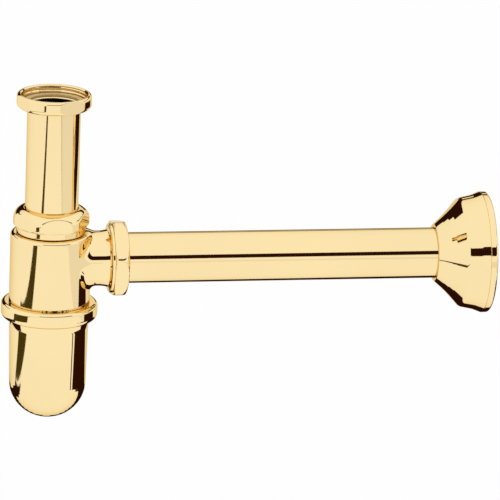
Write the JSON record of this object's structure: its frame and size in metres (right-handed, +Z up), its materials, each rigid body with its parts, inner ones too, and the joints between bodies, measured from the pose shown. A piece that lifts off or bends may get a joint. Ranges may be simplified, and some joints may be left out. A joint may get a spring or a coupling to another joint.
{
  "type": "bottle trap",
  "caption": "Bottle trap for a wash basin: union nut, dip tube, body with side spigot, hexagon compression nuts, screw-on cup, wall tube and bell rosette.",
  "frame": {"origin": "on the trap's vertical axis, on the top of the inlet washer, where the basin waste seats", "axes": "+Z up along the inlet, +X along the wall tube towards the wall, +Y to the back as the picture shows it"},
  "size_m": [0.2957, 0.0734, 0.2012],
  "materials": {
    "polished_gold": "mirror-polished pale gold plate on brass",
    "seal_rubber": "black moulded rubber",
    "gum_rubber": "amber natural gum rubber",
    "slip_nylon": "natural nylon"
  },
  "bodies": {
    "body": {"trap_body": "polished_gold"},
    "inlet_seal": {"top_seal": "seal_rubber"},
    "inlet_pipe": {"inlet_tube": "polished_gold", "inlet_washer": "gum_rubber"},
    "union_nut": {"inlet_nut": "polished_gold"},
    "top_ring": {"top_slip_ring": "slip_nylon"},
    "top_nut": {"top_nut": "polished_gold"},
    "outlet_seal": {"side_seal": "seal_rubber"},
    "outlet_pipe": {"outlet_tube": "polished_gold"},
    "rosette": {"wall_rosette": "polished_gold"},
    "side_ring": {"side_slip_ring": "slip_nylon"},
    "side_nut": {"side_nut": "polished_gold"},
    "cup_ring": {"cup_gasket": "seal_rubber"},
    "cup": {"cup": "polished_gold"}
  },
  "joints": [
    {"name": "inlet_swivel", "type": "hinge", "parent": "body", "child": "inlet_seal", "pos_m": [0, 0, -0.081], "axis": [0, 0, 1], "continuous": true},
    {"name": "inlet_slide", "type": "slide", "parent": "inlet_seal", "child": "inlet_pipe", "axis": [0, 0, 1], "range_m": [-0.015, 0.03]},
    {"name": "union_nut_turn", "type": "hinge", "parent": "inlet_pipe", "child": "union_nut", "pos_m": [0, 0, 0], "axis": [0, 0, 1], "continuous": true},
    {"name": "top_nut_lift", "type": "slide", "parent": "body", "child": "top_ring", "axis": [0, 0, 1], "range_m": [0, 0.0087]},
    {"name": "top_nut_turn", "type": "hinge", "parent": "top_ring", "child": "top_nut", "pos_m": [0, 0, -0.081], "axis": [0, 0, 1], "range_deg": [0, 1350]},
    {"name": "outlet_swivel", "type": "hinge", "parent": "body", "child": "outlet_seal", "pos_m": [0.0347, 0, -0.0981], "axis": [1, 0, 0], "continuous": true},
    {"name": "outlet_slide", "type": "slide", "parent": "outlet_seal", "child": "outlet_pipe", "axis": [1, 0, 0], "range_m": [-0.006, 0.01]},
    {"name": "rosette_slide", "type": "slide", "parent": "outlet_pipe", "child": "rosette", "axis": [1, 0, 0], "range_m": [-0.165, 0]},
    {"name": "side_nut_back", "type": "slide", "parent": "body", "child": "side_ring", "axis": [1, 0, 0], "range_m": [0, 0.0052]},
    {"name": "side_nut_turn", "type": "hinge", "parent": "side_ring", "child": "side_nut", "pos_m": [0.0347, 0, -0.0981], "axis": [1, 0, 0], "range_deg": [0, 790]},
    {"name": "cup_drop", "type": "slide", "parent": "body", "child": "cup_ring", "axis": [0, 0, -1], "range_m": [0, 0.0058]},
    {"name": "cup_turn", "type": "hinge", "parent": "cup_ring", "child": "cup", "pos_m": [0, 0, -0.13], "axis": [0, 0, -1], "range_deg": [0, 900]}
  ],
  "couplings": [
    {"joint": "top_nut_lift", "follows": "top_nut_turn", "m_per_rad": 0.00036749},
    {"joint": "side_nut_back", "follows": "side_nut_turn", "m_per_rad": 0.00036749},
    {"joint": "cup_drop", "follows": "cup_turn", "m_per_rad": 0.00036749}
  ]
}
